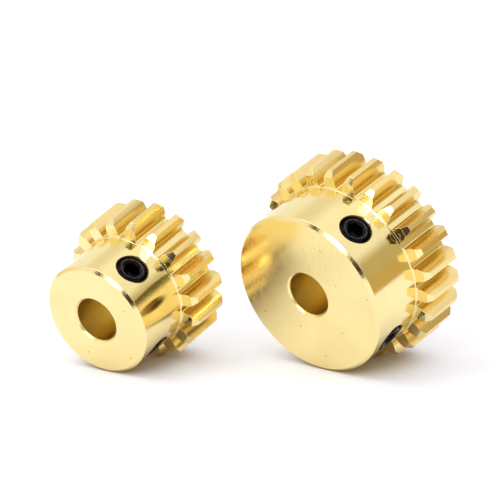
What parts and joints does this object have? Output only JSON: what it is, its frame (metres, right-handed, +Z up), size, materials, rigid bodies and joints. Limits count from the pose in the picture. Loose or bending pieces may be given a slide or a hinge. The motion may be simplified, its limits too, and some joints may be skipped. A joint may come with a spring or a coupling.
{
  "type": "spur gear pair",
  "caption": "Pair of brass spur gears, a larger and a smaller pinion, each with a plain hub, a through bore and socket set screws that clamp it on its shaft.",
  "frame": {"origin": "on the floor, under the middle of the box round both gears as they lie", "axes": "+Z up; +Y level, from the hub of the large gear to its teeth, over its axis, which rises 15.5 degrees towards +Y; +X to the right as seen on the hub faces, with the small gear on the -X side"},
  "size_m": [0.0456, 0.0356, 0.0273],
  "materials": {
    "brass": "turned and polished, bright",
    "black_steel": "black oxide"
  },
  "bodies": {
    "large_gear": {"large_gear": "brass"},
    "small_gear": {"small_gear": "brass"},
    "large_gear_upper_set_screw": {"large_gear_upper_set_screw": "black_steel"},
    "large_gear_lower_set_screw": {"large_gear_lower_set_screw": "black_steel"},
    "small_gear_upper_set_screw": {"small_gear_upper_set_screw": "black_steel"},
    "small_gear_lower_set_screw": {"small_gear_lower_set_screw": "black_steel"}
  },
  "joints": [
    {"name": "small_gear_spin", "type": "hinge", "parent": "large_gear", "child": "small_gear", "pos_m": [-0.01247, -0.00889, 0.00917], "axis": [-0.0539, 0.9632, 0.2633], "continuous": true},
    {"name": "large_upper_screw_travel", "type": "slide", "parent": "large_gear", "child": "large_gear_upper_set_screw", "axis": [0.6088, -0.2117, 0.7646], "range_m": [-0.0021, 0.003]},
    {"name": "large_lower_screw_travel", "type": "slide", "parent": "large_gear", "child": "large_gear_lower_set_screw", "axis": [0.7934, 0.1624, -0.5867], "range_m": [-0.0021, 0.003]},
    {"name": "small_upper_screw_travel", "type": "slide", "parent": "small_gear", "child": "small_gear_upper_set_screw", "axis": [0.5847, -0.1833, 0.7903], "range_m": [-0.0006, 0.002]},
    {"name": "small_lower_screw_travel", "type": "slide", "parent": "small_gear", "child": "small_gear_lower_set_screw", "axis": [0.683, 0.2279, -0.694], "range_m": [-0.0006, 0.002]}
  ]
}
